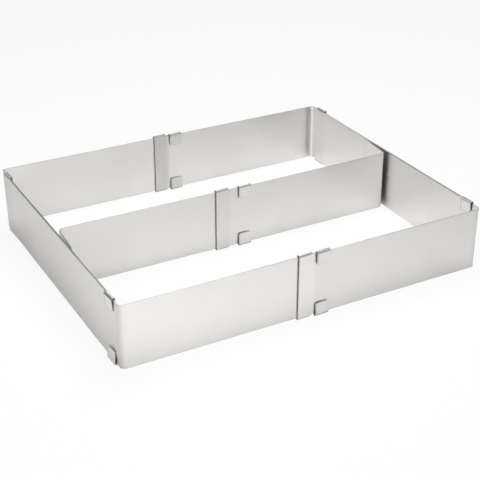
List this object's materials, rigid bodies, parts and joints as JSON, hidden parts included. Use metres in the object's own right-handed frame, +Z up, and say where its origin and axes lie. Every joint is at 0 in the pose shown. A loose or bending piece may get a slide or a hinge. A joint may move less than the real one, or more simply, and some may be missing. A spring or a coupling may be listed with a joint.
{
  "type": "adjustable baking frame",
  "caption": "Open rectangular baking frame of bright sheet-steel strips that slide along each other in every wall, with a sliding divider that telescopes with the frame.",
  "frame": {"origin": "middle of the frame's footprint, on the plane of the folded tabs' undersides", "axes": "+X along the front wall to the right, +Y from the front wall to the rear wall, +Z up"},
  "size_m": [0.3478, 0.2838, 0.061],
  "materials": {
    "stainless_sheet": "bright stainless sheet with a fine brushed grain along the strips"
  },
  "bodies": {
    "front_left": {"front_left_corner": "stainless_sheet"},
    "front_right": {"front_right_corner": "stainless_sheet"},
    "rear_left": {"rear_left_corner": "stainless_sheet"},
    "rear_right": {"rear_right_corner": "stainless_sheet"},
    "divider_left": {"divider_left_strip": "stainless_sheet"},
    "divider_right": {"divider_right_strip": "stainless_sheet"}
  },
  "joints": [
    {"name": "width_slide", "type": "slide", "parent": "front_left", "child": "front_right", "axis": [1, 0, 0], "range_m": [-0.1435, 0.0035]},
    {"name": "front_bay_slide", "type": "slide", "parent": "front_left", "child": "divider_left", "axis": [0, 1, 0], "range_m": [0, 0.115]},
    {"name": "rear_bay_slide", "type": "slide", "parent": "divider_left", "child": "rear_left", "axis": [0, 1, 0], "range_m": [0, 0.115]},
    {"name": "divider_width_slide", "type": "slide", "parent": "divider_left", "child": "divider_right", "axis": [1, 0, 0], "range_m": [-0.1435, 0.0035]},
    {"name": "rear_width_slide", "type": "slide", "parent": "rear_left", "child": "rear_right", "axis": [1, 0, 0], "range_m": [-0.1435, 0.0035]}
  ],
  "couplings": [
    {"joint": "divider_width_slide", "follows": "width_slide", "ratio": 1},
    {"joint": "rear_width_slide", "follows": "width_slide", "ratio": 1}
  ]
}
